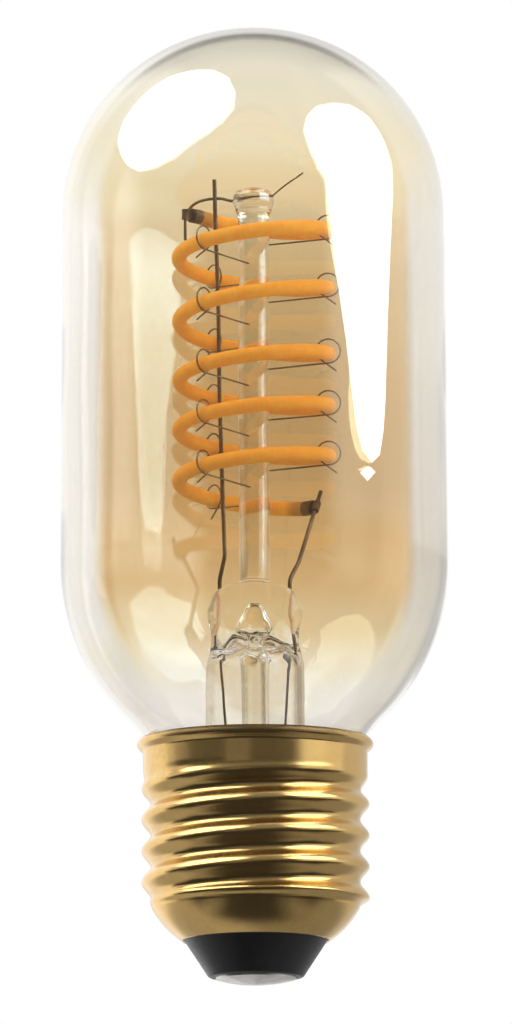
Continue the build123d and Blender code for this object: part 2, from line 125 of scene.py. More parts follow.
def outOf(tree, kind, output=0, **values):  # new node, one of its outputs
    node = tree.nodes.new(kind)
    setInputs(node, **values)
    return Field(node.outputs[output])


def outputsOf(node):
    return {output.name: Field(output) for output in node.outputs}


def wire(kind, values, sockets=None, output=0, **settings):  # new node in the tree of its values
    tree = next(value.socket.id_data for value in values if isinstance(value, Field))
    node = tree.nodes.new(kind)
    for key, setting in settings.items():
        setattr(node, key, setting)
    fill([node.inputs[key] for key in sockets] if sockets else node.inputs, values)
    return Field(node.outputs[output])


def calc(operation, *values):
    return wire("ShaderNodeMath", values, operation=operation)


def ease(value, low, high, toLow=0.0, toHigh=1.0, kind="SMOOTHSTEP"):
    return wire("ShaderNodeMapRange", (value, low, high, toLow, toHigh), interpolation_type=kind)


def easeOver(value, span):  # span in millimetres
    return ease(value, span[0] * mm, span[1] * mm)


def evenRamp(value, low, high):
    return ease(value, low, high, kind="LINEAR")


def blendValue(*values):  # factor, first, second
    return wire("ShaderNodeMix", values, (0, 2, 3), data_type="FLOAT")


def blendColour(*values):  # the same
    return wire("ShaderNodeMix", values, (0, 6, 7), 2, data_type="RGBA")


def blendShader(*values):
    return wire("ShaderNodeMixShader", values)


def noise(place, scale, detail=3.0, roughness=0.5):
    sockets = ("Vector", "Scale", "Detail", "Roughness")
    return wire("ShaderNodeTexNoise", (place, scale, detail, roughness), sockets, "Fac")


def vector(*parts):
    return wire("ShaderNodeCombineXYZ", parts)


def axes(place):  # x, y and z
    return [Field(output) for output in wire("ShaderNodeSeparateXYZ", [place]).socket.node.outputs]


def heightRamp(share, table):
    shown = wire("ShaderNodeValToRGB", [share])
    ramp = shown.socket.node.color_ramp
    ramp.interpolation = "EASE"
    while len(ramp.elements) < len(table):
        ramp.elements.new(0.5)
    for stop, (place, colour) in zip(ramp.elements, table):
        stop.position = place
        stop.color = (*colour, 1.0)
    return shown


def attribute(tree, name):
    node = tree.nodes.new("ShaderNodeAttribute")
    node.attribute_name = name
    return Field(node.outputs["Fac"])


def objectPlace(tree):
    return outOf(tree, "ShaderNodeTexCoord", "Object")


def lightPath(tree):
    return outputsOf(tree.nodes.new("ShaderNodeLightPath"))


def newMaterial(name):
    material = bpy.data.materials.new(name)
    material.use_nodes = True
    tree = material.node_tree
    return material, tree, tree.nodes["Principled BSDF"]


def show(tree, shader):
    feed(tree.nodes["Material Output"].inputs["Surface"], shader)


def addRelief(shader, height, strength, distance):
    tree = shader.id_data
    bump = outOf(tree, "ShaderNodeBump", Strength=strength, Distance=distance * mm, Height=height)
    feed(shader.inputs["Normal"], bump)


def newTree(name, kind, inputs, outputs):
    tree = bpy.data.node_groups.new(name, kind)
    for way, sockets in (("INPUT", inputs), ("OUTPUT", outputs)):
        for socketKind, labels in sockets.items():
            for label in labels:
                tree.interface.new_socket(label, in_out=way, socket_type="NodeSocket" + socketKind)
    given = outputsOf(tree.nodes.new("NodeGroupInput"))
    return tree, given, tree.nodes.new("NodeGroupOutput").inputs


# mesh helpers
def addObject(name, mesh):
    made = bpy.data.objects.new(name, mesh)
    scene.collection.objects.link(made)
    return made


def ringMesh(name, rings, firstPole, lastPole):  # rings run from the first pole to the last
    rings = np.asarray(rings)
    rows, segments = rings.shape[:2]
    points = np.vstack([rings.reshape(-1, 3), firstPole, lastPole]) * mm
    here = np.arange(segments)
    after = (here + 1) % segments
    last = (rows - 1) * segments
    pole = last + segments
    faces = []
    for top in range(0, last, segments):
        low = top + segments
        faces += np.stack([top + here, low + here, low + after, top + after], axis=1).tolist()
    pairs = list(zip(here.tolist(), after.tolist()))
    faces += [(pole, a, b) for a, b in pairs]
    faces += [(pole + 1, last + b, last + a) for a, b in pairs]
    mesh = bpy.data.meshes.new(name)
    mesh.from_pydata(points.tolist(), [], faces)
    mesh.shade_smooth()
    return mesh


def clipShare(value, low, high):
    return np.clip((value - low) / (high - low), 0.0, 1.0)


def smoothStep(share):
    return share * share * (3 - 2 * share)


def arcPoints(centre, radius, start, end, steps):
    angles = np.radians(np.linspace(start, end, steps))
    return np.stack([centre[0] + radius * np.cos(angles), centre[1] + radius * np.sin(angles)], axis=1)


def roundAngles(count):
    return np.linspace(0.0, fullTurn, count, endpoint=False)


def roundRing(radius, height, segments):
    angles = roundAngles(segments)
    return atHeight(np.stack([radius * np.cos(angles), radius * np.sin(angles)], axis=1), height)


def atHeight(flat, height):
    return np.column_stack([flat[:, :2], np.full(len(flat), height)])


def softRun(points, steps):  # eased radius from point to point
    run = []
    for (r0, z0), (r1, z1) in zip(points[:-1], points[1:]):
        for share in np.linspace(0.0, 1.0, steps, endpoint=False):
            run.append((r0 + (r1 - r0) * smoothStep(share), z0 + (z1 - z0) * share))
    return run + [points[-1]]


def smoothLine(points, steps):  # rounded run through the points
    points = np.array(points, float)
    ends = np.vstack([2 * points[0] - points[1], points, 2 * points[-1] - points[-2]])
    run = []
    for a, b, c, d in zip(ends[:-3], ends[1:-2], ends[2:-1], ends[3:]):
        bend = 2 * a - 5 * b + 4 * c - d
        twist = 3 * b - a - 3 * c + d
        for u in np.linspace(0.0, 1.0, steps, endpoint=False):
            run.append(0.5 * (2 * b + (c - a) * u + bend * u**2 + twist * u**3))
    return run + [points[-1]]


def finishPiece(piece, slotName, *nodes):
    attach(piece, "root")
    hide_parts(*nodes)
    print("piece:", piece.name, len(piece.data.polygons), "faces")


# shared shader effect: slow tone drift, fine specks and a little relief
driftSet = {
    "patch": (4.0, 0.55),  # detail and roughness of the noise
    "grain": (2.0, 0.6),
    "patchEdge": (0.38, 0.68),
    "grainEdge": (0.25, 0.75, 0.55, 1.0),
    "spread": (0.3, 0.7),
    "mix": (0.6, 0.4),  # patch and grain in the roughness
    "depth": 0.05,
}


def makeFinishGroup(s):
    tree, given, out = newTree(
        "finishDrift",
        "ShaderNodeTree",
        {"Color": ("Main", "Worn"), "Float": ("Patch Scale", "Grain Scale", "Rough Low", "Rough High")},
        {"Color": ("Color",), "Float": ("Roughness", "Height")},
    )
    place = objectPlace(tree)
    patch = noise(place, given["Patch Scale"], *s["patch"])
    grain = noise(place, given["Grain Scale"], *s["grain"])
    mask = ease(patch, *s["patchEdge"]) * ease(grain, *s["grainEdge"])
    spread = patch * s["mix"][0] + grain * s["mix"][1]
    feed(out["Color"], blendColour(mask, given["Main"], given["Worn"]))
    feed(out["Roughness"], ease(spread, *s["spread"], given["Rough Low"], given["Rough High"]))
    feed(out["Height"], grain)
    return tree


finishGroup = makeFinishGroup(driftSet)


def finishMaterial(name, s):
    material, tree, shader = newMaterial(name)
    group = tree.nodes.new("ShaderNodeGroup")
    group.node_tree = finishGroup
    values = ((*s["main"], 1.0), (*s["worn"], 1.0), s["patch"], s["grain"], *s["rough"])
    fill(group.inputs, values)
    drift = outputsOf(group)
    setInputs(shader, Base_Color=drift["Color"], Roughness=drift["Roughness"], Metallic=s["metal"])
    addRelief(shader, drift["Height"], s["relief"], driftSet["depth"])
    return material, shader, drift


# bounds on a ray's counts of reflections and of glass surfaces crossed
depthSet = {
    "mirrored": 0.5, "mirroredTwice": 1.5,
    "crossedWall": 1.5, "inside": 2.5, "crossedMany": 6.5,
}


# amber glass bulb
bulbSet = {
    "wall": 0.9,
    "segments": 200,
    "steps": (8, 56, 44, 40, 30, 4),  # from the crown down to the neck
    "crown": (0.0, 87.25, 24.6),  # centre radius and height, arc radius
    "corner": (0.3646, 89.990, 21.836),
    "head": (22.2, 90.15),
    "foot": (22.5, 49.25),
    "shoulder": (-2.498, 49.067, 24.999),
    "fillet": (21.31, 23.55, 9.9),
    "neckEnd": 20.95,
    "lean": 0.42,  # straight wall off upright, degrees
    "crownTurn": 82.42,
    "shoulderTurn": -46.98,
    "ripple": 0.03,  # unevenness of the blown inside
    "waves": ((2, 0.11, 0.0, 0.5), (5, -0.23, 1.0, 0.3), (3, 0.37, 2.0, 0.2)),  # lobes, twist, phase, part
    "calm": (90.0, 82.0),  # heights: even above
    "tint": (  # share of the height, colour of one wall
        (0.30, (0.95, 0.91, 0.85)), (0.355, (0.94, 0.85, 0.66)), (0.40, (0.855, 0.695, 0.47)),
        (0.45, (0.86, 0.675, 0.42)), (0.51, (0.78, 0.607, 0.36)), (0.60, (0.784, 0.612, 0.37)),
        (0.69, (0.83, 0.675, 0.425)), (0.755, (0.85, 0.695, 0.465)), (0.80, (0.91, 0.79, 0.57)),
        (0.845, (0.95, 0.875, 0.69)), (0.96, (0.955, 0.92, 0.82)),
    ),
    "sheen": (  # share of the height, strength of its reflections
        (0.34, (0.5, 0.44, 0.35)), (0.435, (0.55, 0.5, 0.42)), (0.485, (1.0, 1.0, 1.0)),
        (0.76, (1.0, 1.0, 1.0)), (0.83, (0.42, 0.42, 0.42)), (0.95, (0.42, 0.42, 0.42)),
    ),
    "ior": 1.9,  # the tint is a coating that reflects more than bare glass
    "crownShadeSpan": (102.0, 109.0),  # heights: painted shade, a greyer rim at the top of the dome where it is seen edge-on
    "crownShadeRim": (0.74, 0.85),
    "crownShadeTone": (0.4, 0.385, 0.38, 1.0),
    "coatIor": 4.0,
    "coatAndPaintedRim": (0.385, 0.47),  # seen edge-on it turns to a mirror, and its tint is painted out to white there
    "coatStart": (33.0, 44.0),  # heights: none at the neck
    "coatEnd": (99.0, 86.0),  # nor over the dome
    "mirrorPale": 0.85,  # painted reflection tone: for rays mirrored inside, the tint is lifted to pale, so what the back wall mirrors comes out pale
    "mirrorLow": (42.0, 56.0),  # heights: fainter below
    "mirrorTint": (0.7, 0.6, 0.45, 1.0),
    "lightTint": (0.97, 0.92, 0.82, 1.0),  # for light that passes straight in
}


def bulbOutline(s, inset):
    steps = iter(s["steps"])

    def arc(key, start, end, change=-inset):
        return arcPoints(s[key], s[key][2] + change, start, end, next(steps))

    crown = arc("crown", 90.0, s["crownTurn"])
    corner = arc("corner", s["crownTurn"], s["lean"])
    lean = math.radians(s["lean"])
    inward = np.array([-math.cos(lean), -math.sin(lean)]) * inset
    wall = np.linspace(np.array(s["head"]) + inward, np.array(s["foot"]) + inward, next(steps))
    shoulder = arc("shoulder", s["lean"], s["shoulderTurn"])
    fillet = arc("fillet", 180.0 + s["shoulderTurn"], 180.0, inset)
    neckRadius = s["fillet"][0] - s["fillet"][2] - inset
    neck = np.linspace((neckRadius, s["fillet"][1]), (neckRadius, s["neckEnd"]), next(steps))
    return np.vstack([part[1:] for part in (crown, corner, wall, shoulder, fillet, neck)])


def makeBulb(s, material):
    count = s["segments"]
    angles = roundAngles(count)
    rings = [roundRing(radius, height, count) for radius, height in bulbOutline(s, 0.0)]
    for radius, height in bulbOutline(s, s["wall"])[::-1]:  # slow waves, none in the dome
        wave = 0.0
        for lobes, twist, phase, part in s["waves"]:
            wave = wave + part * np.sin(lobes * angles + twist * height + phase)
        ripple = s["ripple"] * wave * smoothStep(clipShare(height, *s["calm"]))
        rings.append(roundRing(radius + ripple, height, count))
    apex = s["crown"][1] + s["crown"][2]
    mesh = ringMesh("amberBulb", rings, (0, 0, apex), (0, 0, apex - s["wall"]))
    mesh.materials.append(material)
    return addObject("amberBulb", mesh)


def glassMaterial(name, s):  # shadow and diffuse rays pass straight through
    material, tree, shader = newMaterial(name)
    setInputs(shader, Transmission_Weight=1.0, Roughness=0.0, IOR=s["ior"])
    setInputs(shader, Coat_Roughness=0.0, Coat_IOR=s["coatIor"])
    path = lightPath(tree)
    soft = calc("MAXIMUM", path["Is Shadow Ray"], path["Is Diffuse Ray"])
    clear = outOf(tree, "ShaderNodeBsdfTransparent", Color=s["lightTint"])
    show(tree, blendShader(soft, Field(shader.outputs[0]), clear))
    return material, tree, shader


def makeAmberGlass(s):
    material, tree, shader = glassMaterial("amberGlass", s)
    facing = outOf(tree, "ShaderNodeLayerWeight", "Facing")
    z = axes(objectPlace(tree))[2]
    share = z / cadHigh[2]
    rim = ease(facing, *s["coatAndPaintedRim"]) * easeOver(z, s["coatEnd"]) * easeOver(z, s["coatStart"])
    path = lightPath(tree)
    # painted reflection tone: the glass tint changes for rays that were mirrored after crossing a wall
    mirrored = path["Glossy Depth"] > depthSet["mirrored"]
    mirrored = mirrored * (path["Transmission Depth"] > depthSet["crossedWall"])
    image = blendColour(easeOver(z, s["mirrorLow"]), s["mirrorTint"], white)
    tone = blendColour(mirrored * s["mirrorPale"], heightRamp(share, s["tint"]), image)
    # painted shade: the tint greys where the top of the dome is seen edge-on
    crown = easeOver(z, s["crownShadeSpan"]) * ease(facing, *s["crownShadeRim"])
    tone = blendColour(crown, tone, s["crownShadeTone"])
    setInputs(shader, Coat_Weight=rim, Specular_Tint=heightRamp(share, s["sheen"]))
    # painted reflection: the tint goes to white at the edge-on rim, on top of the coat's real reflection
    setInputs(shader, Base_Color=blendColour(rim, tone, white))
    return material


finishPiece(makeBulb(bulbSet, makeAmberGlass(bulbSet)), "amber_glass", "glass_bulb")


# clear glass stem: flare, tube, press, rod, button and the tipped-off exhaust tube in one skin
stemSet = {
    "segments": 112,
    "steps": {
        "crown": 8, "button": 8, "rod": 14, "foot": 6, "top": 7, "edge": 8, "press": 8, "taper": 12,
        "tube": 8, "flare": 22, "arch": 21, "exhaust": 10, "tip": 10, "bell": 5, "bore": 10, "boreEnd": 8,
    },
    "flare": (10.51, 26.46, 4.71),  # centre radius and height, outer arc
    "flareTurn": (180.0, 269.8),
    "wall": 0.8,
    "tubeTop": (5.65, 36.6),
    "press": (10.6, 3.6, 1.7),  # width, depth, corner
    "pressSpan": (41.4, 46.6),
    "pressEdge": (0.9, 0.5),  # rounding, its share in depth
    "rod": 1.8, "rodTop": 89.7,
    "rodFoot": (0.8, 80.0),  # rounding at the press, its turn
    "footRise": 0.02,
    "button": ((2.05, 92.72), (2.38, 92.1), (2.42, 91.5), (2.1, 90.5), (1.8, 89.7)),
    "buttonTop": 93.25,
    "crown": (0.3, 1.93, 2.4),  # radii from and to, power of its curve
    "exhaust": 1.55,
    "exhaustTip": (19.95, -84.0),  # height, turn
    "arch": (36.9, 1.6),  # head of the hollow round the exhaust tube: foot and rise
    "slope": 1.0,  # drop of the shoulders at the ends
    "slopeFrom": (43.2, 45.8),
    "pressFrom": (37.0, 39.5),
    "rodFrom": (48.5, 47.0),
    "bulge": (0.115, 0.07),  # wider in the middle, narrower beyond
    "bulgeAt": (43.3, 2.0),  # height, spread
    "faceWave": 0.16,  # hand-pressed faces, share of the depth
    "faceAt": (40.8, 3.6),
    "faceWaves": ((1.6, 0.0, 1.9, 0.6, 0.5), (2.7, 0.0, -1.3, 2.0, 0.35)),  # along x, y, z, phase, share
    "hump": 0.3,  # uneven foot of the press
    "humpAt": (37.8, 1.3),
    "humpWaves": ((1.3, 1.1, 0.0, 0.5, 1.0), (2.4, 0.0, 0.0, -1.0, 0.6)),
    "bore": 0.9,
    "boreEnd": (21.15, -80.0),  # height, turn
    "bell": ((0.9, 39.4), (1.1, 39.9), (1.7, 40.35), (2.1, 40.9), (2.15, 41.4), (1.95, 42.0), (1.55, 42.6),
             (1.2, 43.2), (0.95, 43.7), (0.55, 44.15)),
    "bellTip": 44.3,
    "bellDepth": 0.62,  # flattened front to back
    "bellRise": 1.6,
    "tint": (0.975, 0.96, 0.905, 1.0),
    "lightTint": (0.98, 0.98, 0.97, 1.0),
    "ior": 1.34,
    "coatIor": 2.0,
    "coatFrom": (46.5, 50.0),  # fire-polished rod above the press
    "grain": (420.0, 2.0),  # drawn and pinched by hand
    "relief": (0.25, 0.05),
}


def pressRing(width, depth, corner, segments):  # rounded rectangle, even steps round its edge
    a, b = width / 2 - corner, depth / 2 - corner
    arc = math.pi * corner / 2
    quarter = a + arc + b
    flat = []
    for walked in np.linspace(0.0, 4 * quarter, segments, endpoint=False):
        side = int(walked // quarter)
        done = walked - side * quarter
        if side % 2:
            done = quarter - done
        turned = min(max(done - b, 0.0), arc) / corner
        x = a + corner * math.cos(turned) - max(done - b - arc, 0.0)
        y = min(done, b) + corner * math.sin(turned)
        flat.append((-x if side in (1, 2) else x, -y if side > 1 else y))
    return np.array(flat)


def waveSum(ring, table):
    x, y, z = ring.T
    return sum(part * np.sin(a * x + b * y + c * z + phase) for a, b, c, phase, part in table)


def swell(z, middle, spread):
    return np.exp(-(((z - middle) / spread) ** 2))


def pinched(ring, s):  # sloping shoulders, bulging sides and hand-pressed waves
    x, y, z = ring.T
    below = clipShare(z, *s["rodFrom"])
    slope = s["slope"] * clipShare(z, *s["slopeFrom"]) * below * (2 * x / s["press"][0]) ** 2
    bulge, waist = s["bulge"]
    wide = 1 + clipShare(z, *s["pressFrom"]) * below * (bulge * swell(z, *s["bulgeAt"]) - waist)
    deep = 1 + s["faceWave"] * waveSum(ring, s["faceWaves"]) * swell(z, *s["faceAt"])
    hump = s["hump"] * waveSum(ring, s["humpWaves"]) * swell(z, *s["humpAt"])
    return np.column_stack([x * wide, y * deep, z - slope + hump])


def makeStem(s, material):
    count, steps = s["segments"], s["steps"]
    width, depth, corner = s["press"]
    low, high = s["pressSpan"]
    edge, deepEdge = s["pressEdge"]
    rod = s["rod"]
    foot, footTurn = s["rodFoot"]
    rim, brow = s["button"][0]
    crown = s["buttonTop"]
    crownFrom, crownTo, crownPower = s["crown"]
    tubeRadius, tubeTop = s["tubeTop"]
    flareAt, flareFoot, arc = s["flare"]
    flareStart, flareEnd = s["flareTurn"]
    wall = s["wall"]
    archFoot, archRise = s["arch"]
    outside = s["exhaust"]
    tipEnd, tipTurn = s["exhaustTip"]
    bore = s["bore"]
    boreEnd, boreTurn = s["boreEnd"]
    rings = []

    def addRound(points):
        rings.extend(roundRing(radius, height, count) for radius, height in points)

    def pressAt(inset):
        return pressRing(width - 2 * inset, depth - deepEdge * inset, corner - deepEdge * inset, count)

    def between(first, last, share):
        return first * (1 - share) + last * share

    dome = np.linspace(crownFrom, crownTo, steps["crown"])
    addRound([(r, crown - (crown - brow) * (r / rim) ** crownPower) for r in dome])
    addRound(softRun(s["button"], steps["button"]))
    addRound([(rod, z) for z in np.linspace(s["rodTop"], high + foot, steps["rod"])[1:]])
    turns = np.radians(np.linspace(0, footTurn, steps["foot"])[1:])
    addRound([(rod + foot * (1 - math.cos(t)), high + foot * (1 - math.sin(t))) for t in turns])
    inner = rings[-1][:, :2]
    for share in np.linspace(0.0, 1.0, steps["top"])[1:-1]:  # from the rod's foot out over the press
        flat = between(inner, pressAt(edge), share)
        rings.append(atHeight(flat, high + s["footRise"] * (1 - share)))
    for turn in np.radians(np.linspace(90, 0, steps["edge"])):  # rounded top edge
        flat = pressAt(edge * (1 - math.cos(turn)))
        rings.append(atHeight(flat, high - edge + edge * math.sin(turn)))
    full = pressAt(0.0)
    for height in np.linspace(high - edge, low, steps["press"])[1:]:
        rings.append(atHeight(full, height))
    tube = roundRing(tubeRadius, tubeTop, count)[:, :2]
    for share in np.linspace(0.0, 1.0, steps["taper"])[1:]:
        flat = between(full, tube, smoothStep(share))
        rings.append(atHeight(flat, low + (tubeTop - low) * share))
    addRound(np.linspace((tubeRadius, tubeTop), (flareAt - arc, flareFoot), steps["tube"])[1:-1])
    addRound(arcPoints(s["flare"], arc, flareStart, flareEnd, steps["flare"]))
    addRound(arcPoints(s["flare"], arc + wall, flareEnd, flareStart, steps["flare"]))
    addRound(np.linspace((flareAt - arc - wall, flareFoot), (tubeRadius - wall, tubeTop), steps["tube"])[1:])
    half = (tubeRadius - wall - outside) / 2
    turns = np.radians(np.linspace(0, 180, steps["arch"]))
    addRound([(outside + half + half * math.cos(t), archFoot + archRise * math.sin(t)) for t in turns])
    tipTop = tipEnd + outside
    addRound([(outside, z) for z in np.linspace(archFoot, tipTop, steps["exhaust"])[1:]])
    addRound(arcPoints((0.0, tipTop), outside, 0.0, tipTurn, steps["tip"])[1:])
    skin = ringMesh("stemGlass", [pinched(ring, s) for ring in rings], (0, 0, crown), (0, 0, tipEnd))

    rings = []  # the hollow inside, its faces turned towards the air
    bellFoot = s["bell"][0][1]
    for radius, height in smoothLine(s["bell"][::-1], steps["bell"]):
        ring = roundRing(radius, height, count)
        flattened = smoothStep(clipShare(height, bellFoot, bellFoot + s["bellRise"]))
        ring[:, 1] *= 1 - (1 - s["bellDepth"]) * flattened
        rings.append(ring)
    boreFoot = boreEnd + bore
    addRound([(bore, z) for z in np.linspace(bellFoot, boreFoot, steps["bore"])[1:]])
    addRound(arcPoints((0.0, boreFoot), bore, 0.0, boreTurn, steps["boreEnd"])[1:])
    rings = [pinched(ring, s) for ring in rings]
    hollow = ringMesh("stemHollow", rings, (0, 0, s["bellTip"]), (0, 0, boreEnd))
    hollow.flip_normals()
    skin.materials.append(material)
    hollow.materials.append(material)
    stem = addObject("stemGlass", skin)
    air = addObject("stemHollow", hollow)
    with bpy.context.temp_override(active_object=stem, selected_editable_objects=[stem, air]):
        bpy.ops.object.join()
    return stem


def makeStemGlass(s):
    material, tree, shader = glassMaterial("stemGlass", s)
    place = objectPlace(tree)
    setInputs(shader, Base_Color=s["tint"], Coat_Weight=easeOver(axes(place)[2], s["coatFrom"]))
    addRelief(shader, noise(place, *s["grain"]), *s["relief"])
    return material


stem = makeStem(stemSet, makeStemGlass(stemSet))
finishPiece(stem, "stem_glass", "stem_flare", "centre_rod", "exhaust_tube")


# geometry node helpers
socketKinds = {float: "Float", int: "Int", bpy.types.Material: "Material"}


def newGeometryTree(name, values):  # one input for each value
    inputs = {}
    for label, value in values.items():
        inputs.setdefault(socketKinds[type(value)], []).append(label)
    return newTree(name, "GeometryNodeTree", inputs, {"Geometry": ("Geometry",)})


def evenLine(tree, count):  # points in a row, and how far along each is
    line = outOf(tree, "GeometryNodeCurvePrimitiveLine", End=(0.0, 0.0, 1.0))
    line = outOf(tree, "GeometryNodeResampleCurve", Curve=line, Count=count)
    return line, outOf(tree, "GeometryNodeSplineParameter", "Factor")


def sweep(tree, curve, sides, radius):
    ring = outOf(tree, "GeometryNodeCurvePrimitiveCircle", "Curve", Resolution=sides, Radius=radius)
    return outOf(tree, "GeometryNodeCurveToMesh", Curve=curve, Profile_Curve=ring, Fill_Caps=True)


def moveTo(tree, geometry, place):
    return outOf(tree, "GeometryNodeSetPosition", Geometry=geometry, Position=place)


def storeValue(tree, geometry, name, value):
    return outOf(tree, "GeometryNodeStoreNamedAttribute", Geometry=geometry, Name=name, Value=value)


def growPiece(group, values, geometry, extra=None):  # run the tree once and keep a plain mesh
    tree, given, out = group
    whole = outOf(tree, "GeometryNodeRealizeInstances", Geometry=geometry)
    shaded = outOf(tree, "GeometryNodeSetShadeSmooth", Geometry=whole)
    feed(out["Geometry"], outOf(tree, "GeometryNodeSetMaterial", Geometry=shaded, Material=given["Material"]))
    holder = addObject(tree.name, bpy.data.meshes.new(tree.name + "Seed"))
    modifier = holder.modifiers.new("grow", "NODES")
    modifier.node_group = tree
    for item in tree.interface.items_tree:
        if item.in_out == "INPUT":
            modifier[item.identifier] = values[item.name]
    if extra:
        extra(holder)
    graph = bpy.context.evaluated_depsgraph_get()
    mesh = bpy.data.meshes.new_from_object(holder.evaluated_get(graph), depsgraph=graph)
    holder.modifiers.clear()
    seed = holder.data
    holder.data = mesh
    bpy.data.meshes.remove(seed)
    mesh.name = tree.name
    return holder


# spiral filament: pitch changes from span to span
coilSet = {
    "radius": 8.66,
    "start": 137.2,  # degrees, upper end
    "head": 90.88,
    "turns": (1.382, 1.0, 2.869),
    "pitch": (6.9, 7.85, 5.95),
    "strip": 0.85,
    "points": 700, "sides": 24,
}


def makeCoilRule(s):  # height of the strip after a number of turns
    tree, given, out = newTree("coilHeight", "GeometryNodeTree", {"Float": ("Turn",)}, {"Float": ("Height",)})
    turn = given["Turn"]
    height = s["head"] * mm
    for turns, pitch in zip(s["turns"], s["pitch"]):
        part = calc("MINIMUM", calc("MAXIMUM", turn, 0.0), turns)
        height = calc("SUBTRACT", height, part * (pitch * mm))
        turn = turn - turns
    feed(out["Height"], height)
    return tree


coilRule = makeCoilRule(coilSet)


def coilHeight(turn):
    return wire("GeometryNodeGroup", [turn], node_tree=coilRule)


siliconeSet = {
    "light": (1.0, 0.58, 0.12, 1.0),
    "deep": (0.98, 0.49, 0.085, 1.0),
    "burnt": (0.36, 0.21, 0.09, 1.0),
    "burntShare": 0.75,
    "headEnd": (0.055, 0.02),  # in turns from the upper end
    "footEnd": (5.2, 5.235),
    "chips": 90.0,  # in each turn
    "chipShare": 0.06,
    "mottle": (900.0, 3.0, 0.6),
    "mottleEdge": (0.3, 0.7),
    "rough": (0.42, 0.58),
    "specular": 0.35,
    "relief": (0.3, 0.06),
}


def makeSilicone(s):
    material, tree, shader = newMaterial("filamentSilicone")
    along = attribute(tree, "along")
    chips = calc("SINE", along * (s["chips"] * fullTurn))
    mottle = noise(objectPlace(tree), *s["mottle"])
    mask = ease(mottle + chips * s["chipShare"], *s["mottleEdge"])
    ends = calc("MAXIMUM", ease(along, *s["headEnd"]), ease(along, *s["footEnd"])) * s["burntShare"]
    orange = blendColour(mask, s["deep"], s["light"])
    setInputs(shader, Base_Color=blendColour(ends, orange, s["burnt"]), Specular_IOR_Level=s["specular"])
    setInputs(shader, Roughness=ease(mottle, *s["mottleEdge"], *s["rough"]))
    addRelief(shader, mottle, *s["relief"])
    return material


def makeFilament(s):
    values = {
        "Coil Radius": s["radius"] * mm,
        "Start Angle": math.radians(s["start"]),
        "Turns": sum(s["turns"]),
        "Strip Radius": s["strip"] * mm,
        "Points": s["points"],
        "Sides": s["sides"],
        "Material": makeSilicone(siliconeSet),
    }
    group = newGeometryTree("spiralFilament", values)
    tree, given, _ = group
    line, along = evenLine(tree, given["Points"])
    turn = along * given["Turns"]
    angle = given["Start Angle"] - turn * fullTurn
    x = given["Coil Radius"] * calc("COSINE", angle)
    y = given["Coil Radius"] * calc("SINE", angle)
    wound = moveTo(tree, line, vector(x, y, coilHeight(turn)))
    wound = storeValue(tree, wound, "along", turn)
    return growPiece(group, values, sweep(tree, wound, given["Sides"], given["Strip Radius"]))


finishPiece(makeFilament(coilSet), "filament_silicone", "led_filament")


# hook wire through the button: wide bend on the left, thin tail on the right
hookSet = {
    "outward": (-0.8876, 0.4607),
    "line": (  # off the axis and height
        (8.981, 87.78), (8.981, 89.0), (8.98, 90.1), (8.75, 91.0), (8.15, 91.75), (7.3, 92.2), (6.3, 92.37),
        (5.2, 92.4), (4.2, 92.3), (3.4, 92.05), (2.8, 91.9), (2.2, 91.95), (0.0, 92.0), (-2.0, 92.0),
        (-2.5, 92.05), (-3.3, 92.6), (-4.4, 93.3), (-5.5, 93.9), (-6.5, 94.5),
    ),
    "steps": 6,
    "radius": (0.175, 0.1),
    "thin": (2.6, 1.1),  # off the axis: where it narrows
    "sides": 14,
    "finish": {
        "main": (0.3, 0.22, 0.14), "worn": (0.18, 0.12, 0.07), "patch": 240.0, "grain": 2200.0,
        "rough": (0.35, 0.55), "metal": 0.75, "relief": 0.3,
    },
}


def makeHookWire(s):
    line = np.array(smoothLine(s["line"], s["steps"]))
    outX, outY = s["outward"]
    points = np.column_stack([line[:, 0] * outX, line[:, 0] * outY, line[:, 1]])
    way = np.gradient(points, axis=0)
    way /= np.linalg.norm(way, axis=1)[:, None]
    side = np.array([-outY, outX, 0.0])
    wide, narrow = s["radius"]
    rings = []
    for point, along, place in zip(points, way, line[:, 0]):
        radius = wide + (narrow - wide) * smoothStep(clipShare(place, *s["thin"]))
        over = np.cross(side, along)
        turned = [math.cos(a) * side + math.sin(a) * over for a in roundAngles(s["sides"])]
        rings.append([point + radius * spoke for spoke in turned])
    mesh = ringMesh("hookWire", rings, points[0], points[-1])
    mesh.materials.append(finishMaterial("hookWire", s["finish"])[0])
    return addObject("hookWire", mesh)


finishPiece(makeHookWire(hookSet), "nickel_wire", "top_hook_wire")


# pigtail supports: one bent wire repeated up three columns
supportSet = {
    "wire": 0.1,
    "loop": 1.37,
    "below": 1.05,  # wire under the middle of the strip
    "loopTurn": 318.0,
    "loopPitch": 0.45,
    "bend": (0.2, 0.86),  # points in the loop, as shares of them all
    "tail": 2.2,
    "root": 1.3,  # end inside the rod
    "columns": (0.0, -130.0, -235.0),
    "tilt": 5.0,  # straight part rises outwards
    "perColumn": 5,
    "jitter": 1.6,  # degrees
    "seed": 7,
    "points": 150, "sides": 8,
}


nickelSet = {
    "main": (0.31, 0.23, 0.14), "worn": (0.18, 0.125, 0.07), "patch": 260.0, "grain": 2600.0,
    "rough": (0.28, 0.5), "metal": 0.85, "relief": 0.25,
}


